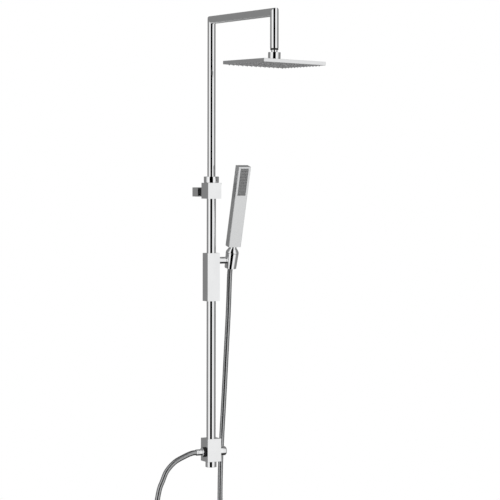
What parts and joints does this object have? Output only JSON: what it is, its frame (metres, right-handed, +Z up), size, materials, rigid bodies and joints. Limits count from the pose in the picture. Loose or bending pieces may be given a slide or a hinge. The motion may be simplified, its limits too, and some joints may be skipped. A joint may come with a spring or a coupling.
{
  "type": "rainfall shower column",
  "caption": "Wall shower column with a telescopic riser, square rain head on a ball joint, sliding holder with a bar hand shower, diverter block and metal hose.",
  "frame": {"origin": "centre of the wall face of the bracket's square foot, at the mouth of its threaded hole", "axes": "+Z up along the column, +Y into the wall, +X to the right seen from the room; the rain head reaches towards -Y"},
  "size_m": [0.2746, 0.542, 1.612],
  "materials": {
    "polished_chrome": "polished",
    "chromed_plastic": "chrome plated, polished",
    "brass": "machined",
    "steel": "machined",
    "rubber": "matt",
    "white_plastic": "moulded",
    "grey_plastic": "satin",
    "steel_hose": "polished spiral strip"
  },
  "bodies": {
    "column": {"wall_base": "polished_chrome", "wall_spindle": "polished_chrome", "base_grub_screw": "steel", "bracket_block": "polished_chrome", "bracket_grub_screw": "steel", "lower_tube": "polished_chrome", "collet": "white_plastic", "diverter_body": "polished_chrome", "tube_seal": "rubber", "diverter_gland": "brass", "spindle_seal": "rubber", "inlet_union": "polished_chrome", "inlet_washer": "rubber", "outlet_nipple": "brass", "outlet_washer": "rubber", "hose_nut": "polished_chrome", "outlet_ferrule": "polished_chrome", "hose_lower": "steel_hose"},
    "collar": {"locking_collar": "polished_chrome"},
    "guide": {"guide_bush": "white_plastic", "guide_seal": "rubber"},
    "riser": {"upper_tube": "polished_chrome", "arm_tube": "polished_chrome", "drop_tube": "polished_chrome", "ball_stud": "polished_chrome", "stud_washer": "rubber"},
    "swivel": {"swivel_ring": "white_plastic"},
    "head": {"head_nut": "polished_chrome", "ball_seat": "white_plastic", "head_filter": "white_plastic", "head_shell": "polished_chrome", "head_face": "polished_chrome", "nozzle_mat": "rubber", "rain_nozzles": "rubber"},
    "slider": {"slider_body": "polished_chrome", "slider_bushes": "white_plastic", "brake_pad": "rubber", "brake_spring": "steel", "holder_stub": "polished_chrome", "pivot_washer": "rubber"},
    "holder": {"holder_cup": "polished_chrome", "cup_liner": "white_plastic", "pivot_pin": "steel"},
    "handset": {"handset_body": "chromed_plastic", "handset_face": "grey_plastic", "handset_nozzle_mat": "rubber", "handset_nozzles": "rubber", "handset_stem": "chromed_plastic", "stem_washer": "rubber", "cone_nut": "polished_chrome", "hose_ferrule": "polished_chrome", "hose_upper": "steel_hose"},
    "knob": {"diverter_spindle": "brass", "diverter_knob": "polished_chrome", "knob_grub_screw": "steel"}
  },
  "joints": [
    {"name": "collar_turn", "type": "hinge", "parent": "column", "child": "collar", "pos_m": [0, -0.089, 0.034], "axis": [0, 0, 1], "range_deg": [0, 180]},
    {"name": "riser_height", "type": "slide", "parent": "column", "child": "guide", "axis": [0, 0, 1], "range_m": [-0.3, 0.1]},
    {"name": "riser_turn", "type": "hinge", "parent": "guide", "child": "riser", "pos_m": [0, -0.089, 0.034], "axis": [0, 0, 1], "range_deg": [-60, 60]},
    {"name": "head_spin", "type": "hinge", "parent": "riser", "child": "swivel", "pos_m": [0, -0.439, 0.356], "axis": [0, 0, 1], "continuous": true},
    {"name": "head_tilt", "type": "hinge", "parent": "swivel", "child": "head", "pos_m": [0, -0.439, 0.356], "axis": [1, 0, 0], "range_deg": [-12, 12]},
    {"name": "slider_height", "type": "slide", "parent": "column", "child": "slider", "axis": [0, 0, 1], "range_m": [-0.36, 0.14], "deforming": ["hose_lower", "hose_upper"]},
    {"name": "holder_tilt", "type": "hinge", "parent": "slider", "child": "holder", "pos_m": [0.035, -0.089, -0.185], "axis": [1, 0, 0], "range_deg": [-15, 30], "deforming": ["hose_lower", "hose_upper"]},
    {"name": "handset_lift", "type": "slide", "parent": "holder", "child": "handset", "axis": [0, -0.2588, 0.9659], "range_m": [0, 0.06], "deforming": ["hose_lower", "hose_upper"]},
    {"name": "diverter_turn", "type": "hinge", "parent": "column", "child": "knob", "pos_m": [0.03, -0.089, -0.703], "axis": [1, 0, 0], "range_deg": [0, 90]}
  ]
}
